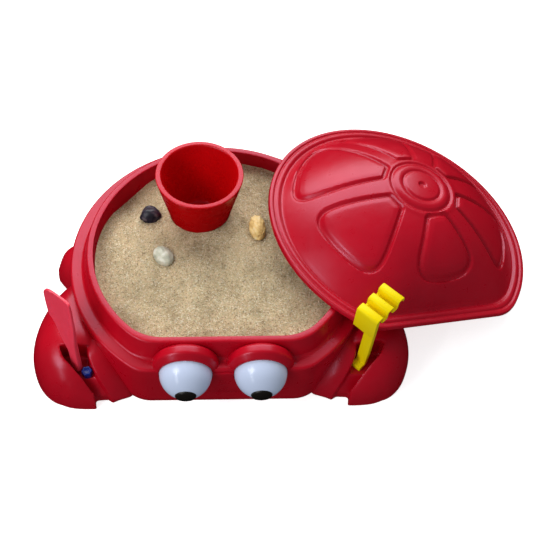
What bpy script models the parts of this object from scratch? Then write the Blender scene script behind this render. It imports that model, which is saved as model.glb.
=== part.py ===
# Crab shaped sandbox with a lift-off cover, sand, shells and sand toys.
# Metres, +Z up, the face looks along -Y, the origin is on the ground under the tub's centre.
import bpy
import bmesh
import math
from mathutils import Vector, Matrix

for ob in list(bpy.data.objects):
    bpy.data.objects.remove(ob)

# ---------------------------------------------------------------- driving sizes
GAP = 0.0003            # running gap between pieces that touch

PLAN_R = 0.429          # the tub's round plan
PLAN_CY = -0.011
PLAN_FRONT = -0.375     # the flat face wall
PLAN_FILLET = 0.090     # corner between the round plan and the face
LEDGE_Z = 0.177
LEDGE_W = 0.037
RING_Z = 0.236          # top of the ring round the sand
RING_OUT = 0.054        # inset of the ring's outer shoulder
RING_IN = 0.071         # inset of the basin wall
FLOOR_T = 0.004

EYE_X = 0.100
EYE_Z = 0.157
EYE_R = 0.071
EYE_BASE_Y = -0.3705
BROW = [(-0.3240, 0.0760), (-0.3370, 0.0910), (-0.3590, 0.0920), (-0.3740, 0.0780)]   # (y, radius), back to front
PUPIL_R = 0.0285
PUPIL_T = 0.0040
PUPIL_TILT = math.radians(4)

LID_PTS = (2, 4, 15)
LID_INSET = 0.030       # the cover's plan is the tub's plan moved in by this
LID_H = 0.181
LID_T = 0.005
LID_FLANGE = 0.030
LID_POS = Vector((0.524, 0.105, 0.174))
LID_TURN = (-0.043, 0.247, 0.275)
BOSS_R = (0.088, 0.055)

SAND_Z = 0.188
BUCKET_XY = (-0.057, 0.165)
BUCKET_TOP_R = 0.1265
BUCKET_BOT_R = 0.079
BUCKET_H = 0.213
BUCKET_Z = 0.130
BUCKET_WALL = 0.017


# ---------------------------------------------------------------- helpers
def material(name, colour, rough):
    m = bpy.data.materials.new(name)
    m.use_nodes = True
    b = m.node_tree.nodes["Principled BSDF"]
    b.inputs["Base Color"].default_value = (*colour, 1)
    b.inputs["Roughness"].default_value = rough
    return m


def make(name, verts, faces, mat=None, smooth=True):
    me = bpy.data.meshes.new(name)
    me.from_pydata([tuple(v) for v in verts], [], faces)
    bm = bmesh.new()
    bm.from_mesh(me)
    bmesh.ops.recalc_face_normals(bm, faces=bm.faces)
    bm.to_mesh(me)
    bm.free()
    ob = bpy.data.objects.new(name, me)
    bpy.context.scene.collection.objects.link(ob)
    if mat:
        me.materials.append(mat)
    if smooth:
        shade(ob)
    return ob


def shade(ob, angle=38):
    for p in ob.data.polygons:
        p.use_smooth = True
    ob.data.set_sharp_from_angle(angle=math.radians(angle))


def lathe(profile, n):
    """Closed skin of revolution about Z from (r, z) pairs that start and end on the axis or not."""
    verts, faces, rows = [], [], []
    for r, z in profile:
        if r < 1e-6:
            rows.append([len(verts)])
            verts.append((0, 0, z))
        else:
            rows.append(list(range(len(verts), len(verts) + n)))
            verts += [(r * math.cos(2 * math.pi * k / n), r * math.sin(2 * math.pi * k / n), z)
                      for k in range(n)]
    pairs = list(zip(rows, rows[1:]))
    if len(rows[0]) > 1 or len(rows[-1]) > 1:
        pairs.append((rows[-1], rows[0]))
    for a, b in pairs:
        for k in range(n):
            j = (k + 1) % n
            q = [a[k % len(a)], a[j % len(a)], b[j % len(b)], b[k % len(b)]]
            q = [v for i, v in enumerate(q) if v not in q[:i]]
            if len(q) > 2:
                faces.append(q)
    return verts, faces


def loft(rings):
    """Closed skin through rings of equal count, capped by flat faces at both ends."""
    n = len(rings[0])
    verts = [v for r in rings for v in r]
    faces = [list(range(n)), list(range(len(verts) - n, len(verts)))]
    for i in range(len(rings) - 1):
        for k in range(n):
            j = (k + 1) % n
            faces.append([i * n + k, i * n + j, (i + 1) * n + j, (i + 1) * n + k])
    return verts, faces


def plan(inset, n1=2, n2=5, n3=17):
    """The D shaped plan, moved in by inset, counter-clockwise from the front centre."""
    rc, yf, rf = PLAN_R - inset, PLAN_FRONT + inset, PLAN_FILLET + 0.6 * max(inset, 0)
    xf = math.sqrt((rc - rf) ** 2 - (yf + rf - PLAN_CY) ** 2)
    a = math.atan2(yf + rf - PLAN_CY, xf)
    half = []
    for k in range(n1):
        half.append((xf * (k + 0.5) / n1, yf))
    for k in range(n2):
        t = -math.pi / 2 + (a + math.pi / 2) * (k + 0.5) / n2
        half.append((xf + rf * math.cos(t), yf + rf + rf * math.sin(t)))
    for k in range(n3):
        t = a + (math.pi / 2 - a) * (k + 0.5) / n3
        half.append((rc * math.cos(t), PLAN_CY + rc * math.sin(t)))
    return half + [(-x, y) for x, y in reversed(half)]


def plan_loft(profile):
    return loft([[(x, y, z) for x, y in plan(i)] for i, z in profile])


def combine(target, tool, how):
    m = target.modifiers.new("b", "BOOLEAN")
    m.operation = how
    m.solver = "EXACT"
    m.object = tool
    bpy.context.view_layer.update()
    dg = bpy.context.evaluated_depsgraph_get()
    me = bpy.data.meshes.new_from_object(target.evaluated_get(dg))
    target.modifiers.clear()
    target.data = me
    bpy.data.objects.remove(tool)
    return target


def catmull(pts, t):
    """Point on a smooth curve through pts at t in 0..1; each pt is a tuple of numbers."""
    n = len(pts) - 1
    s = min(max(t * n, 0), n - 1e-9)
    i = int(s)
    u = s - i
    p = [pts[max(i - 1, 0)], pts[i], pts[i + 1], pts[min(i + 2, n)]]
    out = []
    for a, b, c, d in zip(*p):
        out.append(0.5 * (2 * b + (c - a) * u + (2 * a - 5 * b + 4 * c - d) * u * u
                          + (3 * b - a - 3 * c + d) * u ** 3))
    return out


def ridge(keys, nt, nphi, base, pw=0.8):
    """Half round body along a bent spine. keys: (x, y, half width, height)."""
    rings = []
    for i in range(nt + 1):
        t = i / nt
        x, y, w, h = catmull(keys, t)
        x2, y2 = catmull(keys, min(t + 0.01, 1))[:2]
        x1, y1 = catmull(keys, max(t - 0.01, 0))[:2]
        dx, dy = x2 - x1, y2 - y1
        ln = math.hypot(dx, dy)
        nx, ny = -dy / ln, dx / ln
        ring = [(x + nx * w, y + ny * w, base)]
        for k in range(nphi + 1):
            ph = math.pi * k / nphi
            c, s = math.cos(ph), max(math.sin(ph), 0)
            u = math.copysign(abs(c) ** pw, c) * w
            ring.append((x + nx * u, y + ny * u, s ** pw * h))
        ring.append((x - nx * w, y - ny * w, base))
        rings.append(ring)
    return loft(rings)


def box(x0, x1, y0, y1, z0, z1):
    v = [(x, y, z) for z in (z0, z1) for x, y in ((x0, y0), (x1, y0), (x1, y1), (x0, y1))]
    f = [[0, 1, 2, 3], [4, 5, 6, 7], [0, 1, 5, 4], [1, 2, 6, 5], [2, 3, 7, 6], [3, 0, 4, 7]]
    return v, f


def prism(pts, z0, z1):
    return loft([[(x, y, z0) for x, y in pts], [(x, y, z1) for x, y in pts]])


def place(verts, mat):
    return [tuple(mat @ Vector(v)) for v in verts]


# ---------------------------------------------------------------- colours
RED = material("red_plastic", (0.58, 0.004, 0.022), 0.32)
RED_LID = material("red_cover", (0.58, 0.004, 0.022), 0.30)
WHITE = material("white_plastic", (0.82, 0.83, 0.86), 0.15)
BLACK = material("black_plastic", (0.012, 0.012, 0.012), 0.30)
RED_PAIL = material("red_pail", (0.52, 0.008, 0.012), 0.40)
PINK = material("red_spade", (0.70, 0.035, 0.055), 0.38)
BLUE = material("blue_plastic", (0.008, 0.060, 0.50), 0.35)
YELLOW = material("yellow_plastic", (0.88, 0.62, 0.003), 0.35)
SAND = material("sand", (0.48, 0.38, 0.25), 0.95)
DARK = material("dark_stone", (0.020, 0.022, 0.035), 0.55)
PALE = material("pale_shell", (0.58, 0.64, 0.50), 0.35)
GOLD = material("yellow_shell", (0.74, 0.50, 0.16), 0.50)

# ---------------------------------------------------------------- tub
body = make("tub", *plan_loft([(0.004, -0.030), (0.004, 0.0), (0.0, 0.012), (0.0, LEDGE_Z - 0.016),
                               (0.0015, LEDGE_Z - 0.007),
                               (0.006, LEDGE_Z - 0.001), (0.012, LEDGE_Z), (LEDGE_W - 0.004, LEDGE_Z),
                               (LEDGE_W + 0.002, LEDGE_Z + 0.005), (RING_OUT - 0.004, RING_Z - 0.012),
                               (RING_OUT, RING_Z - 0.004), (RING_OUT + 0.005, RING_Z),
                               (RING_IN - 0.005, RING_Z), (RING_IN + 0.012, RING_Z)]), RED)

CLAW = [(-0.330, -0.020, 0.060, 0.100), (-0.385, -0.100, 0.095, 0.140), (-0.412, -0.190, 0.117, 0.153),
        (-0.408, -0.270, 0.122, 0.152), (-0.372, -0.335, 0.088, 0.120), (-0.335, -0.385, 0.018, 0.040)]
# inner pincer: crest and valley lines from the shoulder to the tip
CREST = [(-0.372, -0.255, 0.140), (-0.366, -0.300, 0.130), (-0.343, -0.343, 0.097),
         (-0.319, -0.367, 0.052), (-0.3045, -0.3775, 0.012)]
VALE = [(-0.316, -0.255, 0.145), (-0.312, -0.290, 0.126), (-0.288, -0.330, 0.082),
        (-0.266, -0.350, 0.038), (-0.2625, -0.3645, 0.009)]
# channel between the pincers: (y, x of its outer edge, floor), level at the back, running out at the tip
SLOT = [(-0.2740, -0.4450, 0.080), (-0.3080, -0.4310, 0.080), (-0.3340, -0.4050, 0.080), (-0.3430, -0.3955, 0.079),
        (-0.3570, -0.3800, 0.054), (-0.3740, -0.3600, 0.016), (-0.3860, -0.3460, -0.014), (-0.4400, -0.3420, -0.060)]
SLOT_Z = 0.080
MOUTH = [(-0.3540, -0.3700), (-0.3420, -0.4500), (-0.1900, -0.4500), (-0.1900, -0.3600)]
LEG = [(-0.350, 0.062, 0.072, 0.115), (-0.412, 0.060, 0.074, 0.115), (-0.460, 0.056, 0.056, 0.088),
       (-0.488, 0.053, 0.016, 0.030)]


def wedge(crest, vale, nt):
    """Ridge whose outer side drops steeply and whose inner side rolls down to a valley."""
    rings = []
    for i in range(nt + 1):
        c, v = catmull(crest, i / nt), catmull(vale, i / nt)
        ring = [(c[0] - 0.001, c[1], -0.024), (c[0] - 0.001, c[1], c[2] - 0.005), (c[0] + 0.001, c[1], c[2])]
        for k in range(1, 6):
            t = k / 5
            up = 0.10 * (c[2] - v[2] + 0.05) * math.sin(math.pi * t)
            ring.append((c[0] + (v[0] - c[0]) * t, c[1] + (v[1] - c[1]) * t, c[2] + (v[2] - c[2]) * t + up))
        ring.append((v[0] + 0.02, v[1] + 0.02, v[2] * 0.9))
        ring.append((v[0] + 0.02, v[1] + 0.02, -0.024))
        rings.append(ring)
    return loft(rings)


def claw(name):
    dome = make(name, *ridge(CLAW, 13, 12, -0.020))
    channel = loft([[(x, y, z), (-0.200, y, z), (-0.200, y, 0.30), (x, y, 0.30)] for y, x, z in SLOT])
    dome = combine(dome, make("t", *channel), "DIFFERENCE")
    dome = combine(dome, make("t", *prism(MOUTH, -0.06, 0.31)), "DIFFERENCE")
    return combine(dome, make("t", *wedge(CREST, VALE, 9)), "UNION")


for s in (1, -1):
    for part in (claw("t"), make("t", *ridge(LEG, 6, 9, -0.027))):
        if s < 0:
            part.data.transform(Matrix.Scale(-1, 4, (1, 0, 0)))
            part.data.flip_normals()
        body = combine(body, part, "UNION")

# brows: a hood over each eye, with a seat below
for s in (-1, 1):
    rings = []
    n = 18
    for y, ro in BROW:
        ring = []
        for k in range(n + 1):
            a = math.pi * k / n
            ring.append((s * EYE_X + ro * math.cos(a), y, EYE_Z + ro * math.sin(a)))
        ring += [(s * EYE_X - ro * 0.8, y, EYE_Z - 0.03), (s * EYE_X + ro * 0.8, y, EYE_Z - 0.03)]
        rings.append(ring)
    body = combine(body, make("t", *loft(rings)), "UNION")
# low plate between the eyes
plate = make("t", *box(-EYE_X * 0.8, EYE_X * 0.8, PLAN_FRONT - 0.004, PLAN_FRONT + 0.05, 0.060, LEDGE_Z - 0.012))
body = combine(body, plate, "UNION")
# seats cut for the eye domes
for s in (-1, 1):
    v, f = lathe([(0, 0), (EYE_R + 0.0012, 0), (EYE_R + 0.0022, 0.06), (0, 0.06)], 48)
    m = Matrix.Translation((s * EYE_X, EYE_BASE_Y + GAP, EYE_Z)) @ Matrix.Rotation(math.pi / 2, 4, "X")
    body = combine(body, make("t", place(v, m), f), "DIFFERENCE")


# basin and the open underside
basin = make("t", *plan_loft([(RING_IN + 0.020, FLOOR_T), (RING_IN + 0.006, FLOOR_T + 0.003),
                              (RING_IN, FLOOR_T + 0.014), (RING_IN, RING_Z - 0.012),
                              (RING_IN - 0.0015, RING_Z - 0.004), (RING_IN - 0.007, RING_Z + 0.0004),
                              (RING_IN - 0.007, RING_Z + 0.1)]))
body = combine(body, basin, "DIFFERENCE")
under = make("t", *plan_loft([(0.009, -0.02), (0.006, 0.014), (0.006, LEDGE_Z - 0.050), (0.040, LEDGE_Z - 0.046),
                              (0.046, LEDGE_Z - 0.006)]))
core = make("t", *plan_loft([(RING_IN - 0.005, -0.05), (RING_IN - 0.005, RING_Z)]))
under = combine(under, core, "DIFFERENCE")
body = combine(body, under, "DIFFERENCE")
ground = make("t", *box(-1, 1, -1, 1, -0.2, 0.0))
body = combine(body, ground, "DIFFERENCE")
body.name = "tub"
body.data.name = "tub"
body.data.materials.clear()
body.data.materials.append(RED)
shade(body, 32)

# ---------------------------------------------------------------- eyes
for side, s in (("left", -1), ("right", 1)):
    prof = [(0, 0.0), (EYE_R * 0.9, 0.0), (EYE_R, 0.0012)]
    n = 7
    for k in range(1, n):
        a = math.pi / 2 * k / n
        prof.append((EYE_R * math.cos(a), 0.0012 + (EYE_R - 0.0012) * math.sin(a)))
    prof.append((0, EYE_R))
    v, f = lathe(prof, 32)
    seat = Matrix.Translation((s * EYE_X, EYE_BASE_Y, EYE_Z)) @ Matrix.Rotation(math.pi / 2, 4, "X")
    eye = make(side + "_eye_dome", place(v, seat), f, WHITE)
    # the dome is a shell, open behind
    prof_in = [(0, -0.01), (EYE_R - 0.006, -0.01), (EYE_R - 0.006, 0.0015)]
    for k in range(1, n):
        a = math.pi / 2 * k / n
        prof_in.append(((EYE_R - 0.006) * math.cos(a), 0.0015 + (EYE_R - 0.009) * math.sin(a)))
    prof_in.append((0, EYE_R - 0.0075))
    v, f = lathe(prof_in, 20)
    eye = combine(eye, make("t", place(v, seat), f), "DIFFERENCE")
    shade(eye, 50)
    # pupil: a proud disc that follows the dome
    look = seat @ Matrix.Rotation(PUPIL_TILT, 4, "X")
    ri, ro = EYE_R + GAP, EYE_R + PUPIL_T
    am = math.asin(PUPIL_R / ri)
    inner = [(ri * math.sin(am * k / 3), ri * math.cos(am * k / 3)) for k in range(4)]
    outer = [(ro * math.sin(am * 0.96 * k / 3), ro * math.cos(am * 0.96 * k / 3)) for k in range(3, -1, -1)]
    v, f = lathe(inner + outer, 28)
    make(side + "_pupil", place(v, look), f, BLACK)

# ---------------------------------------------------------------- cover
LID_M = Matrix.Translation(LID_POS) @ Matrix.Rotation(LID_TURN[0], 4, "X") \
    @ Matrix.Rotation(LID_TURN[1], 4, "Y") @ Matrix.Rotation(LID_TURN[2], 4, "Z")


EDGE = plan(LID_INSET + LID_FLANGE + 0.016, *LID_PTS)
DOME_R = 0.345


def dome_z(k):
    """Height of the cover's skin at the share k of its dome radius."""
    return 0.012 + (LID_H - 0.012) * (1 - k ** 2.15)


def dome_radius(a):
    """Distance from the centre to the dome's foot along the angle a."""
    best = 0
    c, s = math.cos(a), math.sin(a)
    for i in range(len(EDGE)):
        x1, y1 = EDGE[i]
        x2, y2 = EDGE[(i + 1) % len(EDGE)]
        den = c * (y2 - y1) - s * (x2 - x1)
        if abs(den) < 1e-12:
            continue
        t = (x1 * (y2 - y1) - y1 * (x2 - x1)) / den
        u = (x1 * s - y1 * c) / den
        if t > 0 and -1e-9 <= u <= 1 + 1e-9:
            best = max(best, t)
    return best


def skin_radius(k, foot):
    """Plan radius at the share k: round near the top, D shaped at the foot."""
    return k * (foot * k * k + DOME_R * (1 - k * k))


def skin_point(r, a, up):
    """Point of the cover's skin over the plan position (r, a)."""
    foot = dome_radius(a)
    lo, hi = 0.0, 1.0
    for _ in range(30):
        mid = (lo + hi) / 2
        if skin_radius(mid, foot) < r:
            lo = mid
        else:
            hi = mid
    return (r * math.cos(a), r * math.sin(a), dome_z(lo) + up)


def lid_rings(drop):
    rings = []
    for inset, z in ((0.0005, -0.007), (-0.0005, 0.0), (0.0040, 0.0060), (LID_FLANGE - 0.006, 0.0080),
                     (LID_FLANGE, 0.0055), (LID_FLANGE + 0.008, 0.0060)):
        i2 = inset + (drop if inset < 0.01 else drop * 0.3)
        down = 0 if z < 0 else drop
        rings.append([(x, y, z - down) for x, y in plan(LID_INSET + i2, *LID_PTS)])
    for k in (1.0, 0.93, 0.82, 0.69, 0.55, 0.41, 0.26, 0.11):
        ring = []
        for x, y in EDGE:
            foot = math.hypot(x, y)
            g = skin_radius(k, foot) / foot
            ring.append((x * g, y * g, dome_z(k) - drop))
        rings.append(ring)
    return rings


lid = make("lid", *loft(lid_rings(0.0)), RED_LID)
low = lid_rings(LID_T)
low[0] = [(x, y, -0.03) for x, y, z in low[0]]
lid = combine(lid, make("t", *loft(low)), "DIFFERENCE")

# raised panels: centre angle, width, inner radius, outer radius, half width at the inner end
PANELS = [(-87, 46, 0.100, 0.252, 0.031), (-29, 37, 0.110, 0.316, 0.025), (-157, 52, 0.106, 0.293, 0.025),
          (30, 38, 0.110, 0.322, 0.024), (142, 50, 0.106, 0.326, 0.026), (88, 37, 0.112, 0.322, 0.028)]


def panel_outline(mid, wid, r0, r1, w0, step=0.027):
    """Rounded wedge between two radii, its outer side bowed, as (x, y) points."""
    h1 = math.radians(wid / 2)
    rim = [Vector((r1 * math.cos(h1 * t), r1 * math.sin(h1 * t))) for t in (-1, 1)]
    cs = [Vector((r0, -w0)), rim[0], rim[1], Vector((r0, w0))]
    rad = (0.016, 0.036, 0.036, 0.016)
    fine = []
    for i in range(4):
        p, a, b = cs[i], cs[i - 1], cs[(i + 1) % 4]
        da, db = (a - p).normalized(), (b - p).normalized()
        d = rad[i] / math.tan(da.angle(db) / 2) * 0.8
        s, e = p + da * d, p + db * d
        for k in range(9):
            t = k / 8
            fine.append(s * (1 - t) ** 2 + p * 2 * t * (1 - t) + e * t * t)
    dense = []
    for i, p in enumerate(fine):
        q = fine[(i + 1) % len(fine)]
        m = max(int((q - p).length / 0.004), 1)
        dense += [p + (q - p) * (k / m) for k in range(m)]
    out, acc = [], 0.0
    a0 = math.radians(mid)
    xo = cs[1].x
    for i, p in enumerate(dense):
        acc += (p - dense[i - 1]).length
        if acc >= step or not out:
            acc = 0.0
            bow = max((p.x - xo * 0.80) / (xo * 0.20), 0)
            px = p.x + bow * (r1 - xo) * (1 - (p.y / cs[2].y) ** 2)
            out.append((px * math.cos(a0) - p.y * math.sin(a0), px * math.sin(a0) + p.y * math.cos(a0)))
    return out


for mid, wid, r0, r1, w0 in PANELS:
    pts = panel_outline(mid, wid, r0, r1, w0)
    cr = (r0 + r1) * 0.53
    cx, cy = cr * math.cos(math.radians(mid)), cr * math.sin(math.radians(mid))
    verts, rows = [], []
    for up, sc in ((-0.0025, 1.0), (0.0030, 1.0), (0.0042, 0.96), (0.0042, 0.60)):
        rows.append(len(verts))
        for x, y in pts:
            x, y = cx + (x - cx) * sc, cy + (y - cy) * sc
            verts.append(skin_point(math.hypot(x, y), math.atan2(y, x), up))
    n = len(pts)
    lo_c, hi_c = len(verts), len(verts) + 1
    verts.append(skin_point(math.hypot(cx, cy), math.atan2(cy, cx), -0.0025))
    verts.append(skin_point(math.hypot(cx, cy), math.atan2(cy, cx), 0.0042))
    faces = []
    for k in range(n):
        j = (k + 1) % n
        faces.append([lo_c, j, k])
        faces.append([hi_c, rows[-1] + k, rows[-1] + j])
        for a, b in zip(rows, rows[1:]):
            faces.append([a + k, a + j, b + j, b + k])
    lid = combine(lid, make("t", verts, faces), "UNION")
top = dome_z(0)
for r, w in ((BOSS_R[0], 0.006), (BOSS_R[1], 0.005)):
    zr = dome_z(r / DOME_R)
    v, f = lathe([(r - w, zr - 0.003), (r - w, zr + 0.0035), (r, zr + 0.0042), (r + w, zr + 0.003),
                  (r + w, zr - 0.004)], 40)
    lid = combine(lid, make("t", v, f), "UNION")
v, f = lathe([(0, top - 0.003), (0.011, top - 0.003), (0.013, top + 0.02), (0, top + 0.02)], 20)
lid = combine(lid, make("t", v, f), "DIFFERENCE")
lid.data.transform(LID_M)
lid.name = "lid"
lid.data.name = "lid"
lid.data.materials.clear()
lid.data.materials.append(RED_LID)
shade(lid, 28)

# ---------------------------------------------------------------- bucket
slope = (BUCKET_TOP_R - BUCKET_BOT_R) / BUCKET_H
v, f = lathe([(0, 0), (BUCKET_BOT_R - 0.004, 0), (BUCKET_BOT_R, 0.004), (BUCKET_TOP_R - 0.001, BUCKET_H - 0.004),
              (BUCKET_TOP_R - 0.004, BUCKET_H), (BUCKET_TOP_R - BUCKET_WALL + 0.003, BUCKET_H),
              (BUCKET_TOP_R - BUCKET_WALL, BUCKET_H - 0.003), (BUCKET_BOT_R - BUCKET_WALL + 0.004, 0.016),
              (BUCKET_BOT_R - BUCKET_WALL, 0.012), (0, 0.012)], 48)
BUCKET_M = Matrix.Translation((*BUCKET_XY, BUCKET_Z))
bucket = make("bucket", place(v, BUCKET_M), f, RED_PAIL)
shade(bucket, 50)


# ---------------------------------------------------------------- stones and shells
def pebble(name, centre, size, seed, mat, n=14, m=9, rot=0.0, amp=0.10):
    verts, faces = lathe([(math.sin(math.pi * k / m), math.cos(math.pi * k / m)) for k in range(m + 1)], n)
    out = []
    c, s = math.cos(rot), math.sin(rot)
    for x, y, z in verts:
        w = 1 + amp * math.sin(3.1 * x + seed) * math.cos(2.7 * y - seed)
        w += amp * 0.6 * math.sin(4.3 * z + 2 * seed + x)
        px, py, pz = x * w * size[0], y * w * size[1], z * w * size[2]
        out.append((centre[0] + px * c - py * s, centre[1] + px * s + py * c, centre[2] + pz))
    return make(name, out, faces, mat)


def sand_z(x, y):
    """Surface of the sand: nearly level, scooped out at the back left."""
    z = SAND_Z + 0.004 * math.sin(9 * x + 1.3) * math.cos(8 * y + 0.4)
    z -= 0.030 * math.exp(-(((x + 0.26) / 0.13) ** 2 + ((y - 0.22) / 0.10) ** 2))
    z += 0.006 * math.exp(-(((x - 0.05) / 0.18) ** 2 + ((y + 0.10) / 0.12) ** 2))
    return z


PEBBLES = [("dark_stone", (-0.203, 0.146), (0.030, 0.027, 0.026), 1.0, DARK, 0.4),
           ("pale_shell", (-0.162, -0.012), (0.027, 0.036, 0.018), 2.2, PALE, 0.5),
           ("yellow_shell", (0.107, 0.092), (0.024, 0.036, 0.020), 3.1, GOLD, 0.6)]

# ---------------------------------------------------------------- sand
rows = [1.0, 0.97, 0.90, 0.80, 0.68, 0.55, 0.42, 0.28, 0.14]
edge = plan(RING_IN + GAP)
rings = [[(x, y, FLOOR_T + GAP) for x, y in plan(RING_IN + 0.021)],
         [(x, y, FLOOR_T + 0.004) for x, y in plan(RING_IN + 0.007)],
         [(x, y, FLOOR_T + 0.015) for x, y in edge]]
for k in rows:
    rings.append([(x * k, y * k, sand_z(x * k, y * k) + (0.0 if k < 1 else 0.003)) for x, y in edge])
n = len(edge)
verts = [v for r in rings for v in r]
faces = [list(range(n))]
for i in range(len(rings) - 1):
    for k in range(n):
        j = (k + 1) % n
        faces.append([i * n + k, i * n + j, (i + 1) * n + j, (i + 1) * n + k])
verts.append((0, 0, sand_z(0, 0)))
for k in range(n):
    faces.append([(len(rings) - 1) * n + k, (len(rings) - 1) * n + (k + 1) % n, len(verts) - 1])
sand = make("sand_fill", verts, faces, SAND)
v, f = lathe([(0, -GAP), (BUCKET_BOT_R + GAP, -GAP), (BUCKET_TOP_R + GAP, BUCKET_H), (0, BUCKET_H)], 48)
sand = combine(sand, make("t", place(v, BUCKET_M), f), "DIFFERENCE")
for name, (px, py), size, seed, mat, rot in PEBBLES:
    pz = sand_z(px, py) + size[2] * 0.30
    pebble(name, (px, py, pz), size, seed, mat, rot=rot)
    grown = tuple(q + 0.0008 for q in size)
    cut = pebble("t", (px, py, pz), grown, seed, None, rot=rot)
    sand = combine(sand, cut, "DIFFERENCE")
sand.name = "sand_fill"
sand.data.name = "sand_fill"
sand.data.materials.clear()
sand.data.materials.append(SAND)
shade(sand, 60)

# ---------------------------------------------------------------- spade, standing blade up
def frame_at(foot, lean_x, lean_y, turn):
    """Tool space: Z along the tool, X across it. Leans are about X and Y, in degrees."""
    return Matrix.Translation(foot) @ Matrix.Rotation(math.radians(lean_x), 4, "X") \
        @ Matrix.Rotation(math.radians(lean_y), 4, "Y") @ Matrix.Rotation(math.radians(turn), 4, "Z")


def strip(sections):
    """Body through rounded rectangular sections (x centre, y centre, z, half width, half thickness)."""
    rings = []
    for cx, cy, z, hw, ht in sections:
        ring = []
        r = min(hw, ht) * 0.55
        for qx, qy, a0 in ((1, 1, 0), (-1, 1, 90), (-1, -1, 180), (1, -1, 270)):
            for k in range(4):
                a = math.radians(a0 + 30 * k)
                ring.append((cx + qx * (hw - r) + r * math.cos(a), cy + qy * (ht - r) + r * math.sin(a), z))
        rings.append(ring)
    return loft(rings)


SPADE_M = frame_at((-0.3990, -0.3115, 0.0850), -13.0, -3.4, -45)
v, f = strip([(0, 0, 0, 0.015, 0.008), (0, 0, 0.010, 0.017, 0.009), (0, 0, 0.060, 0.017, 0.009),
              (-0.003, 0, 0.080, 0.021, 0.009), (-0.008, 0, 0.100, 0.027, 0.009), (-0.012, 0.001, 0.130, 0.035, 0.0085),
              (-0.018, 0.002, 0.155, 0.044, 0.008), (-0.025, 0.003, 0.175, 0.053, 0.0075),
              (-0.026, 0.005, 0.225, 0.055, 0.007), (-0.025, 0.006, 0.246, 0.054, 0.0065),
              (-0.018, 0.007, 0.262, 0.047, 0.006)])
spade = make("shovel", place(v, SPADE_M), f, PINK)
shade(spade, 40)

# peg in the same slot
v, f = lathe([(0, 0), (0.0145, 0), (0.0155, 0.002), (0.0155, 0.0195), (0.0135, 0.022), (0, 0.022)], 6)
PEG_M = Matrix.Translation((-0.3713, -0.3290, 0.0803)) @ Matrix.Rotation(math.radians(12), 4, "Z")
peg = make("blue_peg", place(v, PEG_M), f, BLUE)
shade(peg, 20)

# ---------------------------------------------------------------- rake
BAR = math.radians(44.5)
bx, by = math.cos(BAR), math.sin(BAR)
tx, ty = math.sin(BAR), -math.cos(BAR)
RAKE_XY = (0.388, -0.261)    # middle of the head's crest
RAKE_TOP = 0.350
PITCH = 0.043
HANDLE = (-0.0260, 0.0290)   # handle's place along the bar and along the tines
SLOT_FLOOR = SLOT_Z + 0.0006


def slab(u0, u1, w0, w1, z0, z1, slant=0.0):
    """Block between u along the bar, w along the tines, and z; slant lowers its far end."""
    v, f = box(u0, u1, w0, w1, z0, z1)
    return [(RAKE_XY[0] + bx * a + tx * b, RAKE_XY[1] + by * a + ty * b,
             z - slant * max(b - w0, 0) / (w1 - w0)) for a, b, z in v], f


hu, hw = HANDLE
rake = make("rake", *slab(hu - 0.008, hu + 0.008, hw - 0.0155, hw + 0.0155, SLOT_FLOOR + 0.004,
                          RAKE_TOP - 0.080), YELLOW)
parts = [slab(hu - 0.0320, hu + 0.0075, hw - 0.0070, hw + 0.0150, SLOT_FLOOR, SLOT_FLOOR + 0.016),
         slab(hu - 0.016, 0.020, -0.0095, hw + 0.0150, RAKE_TOP - 0.098, RAKE_TOP - 0.060),
         slab(-PITCH - 0.0125, PITCH + 0.0125, -0.0100, 0.0060, RAKE_TOP - 0.085, RAKE_TOP - 0.012)]
for i in (-1, 0, 1):
    parts.append(slab(i * PITCH - 0.0130, i * PITCH + 0.0130, -0.0105, 0.0560, RAKE_TOP - 0.018, RAKE_TOP))
for i in (-0.5, 0.5):
    parts.append(slab(i * PITCH - 0.0120, i * PITCH + 0.0120, -0.0090, 0.0330, RAKE_TOP - 0.034, RAKE_TOP - 0.014))
for v, f in parts:
    rake = combine(rake, make("t", v, f), "UNION")
rake.name = "rake"
rake.data.name = "rake"
rake.data.materials.clear()
rake.data.materials.append(YELLOW)
shade(rake, 30)
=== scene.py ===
# Crab shaped sandbox: moulded tub, lift-off cover, sand, shells and sand toys, in the CAD's own frame.
import math

import bmesh
import bpy
import numpy as np
from mathutils import Matrix, Quaternion, Vector


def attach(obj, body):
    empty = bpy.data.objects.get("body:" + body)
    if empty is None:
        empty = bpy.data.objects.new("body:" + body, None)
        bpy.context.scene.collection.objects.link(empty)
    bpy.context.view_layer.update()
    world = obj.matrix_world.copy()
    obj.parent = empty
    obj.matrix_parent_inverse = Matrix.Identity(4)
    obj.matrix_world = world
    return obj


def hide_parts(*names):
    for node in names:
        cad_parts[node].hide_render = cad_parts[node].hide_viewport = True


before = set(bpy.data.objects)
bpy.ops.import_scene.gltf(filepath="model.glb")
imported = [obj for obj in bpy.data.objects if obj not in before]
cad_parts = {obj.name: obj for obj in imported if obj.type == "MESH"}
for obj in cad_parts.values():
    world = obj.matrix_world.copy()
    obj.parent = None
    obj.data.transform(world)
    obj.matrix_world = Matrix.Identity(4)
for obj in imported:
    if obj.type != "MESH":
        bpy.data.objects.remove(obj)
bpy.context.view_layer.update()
COL = bpy.context.scene.collection

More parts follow.
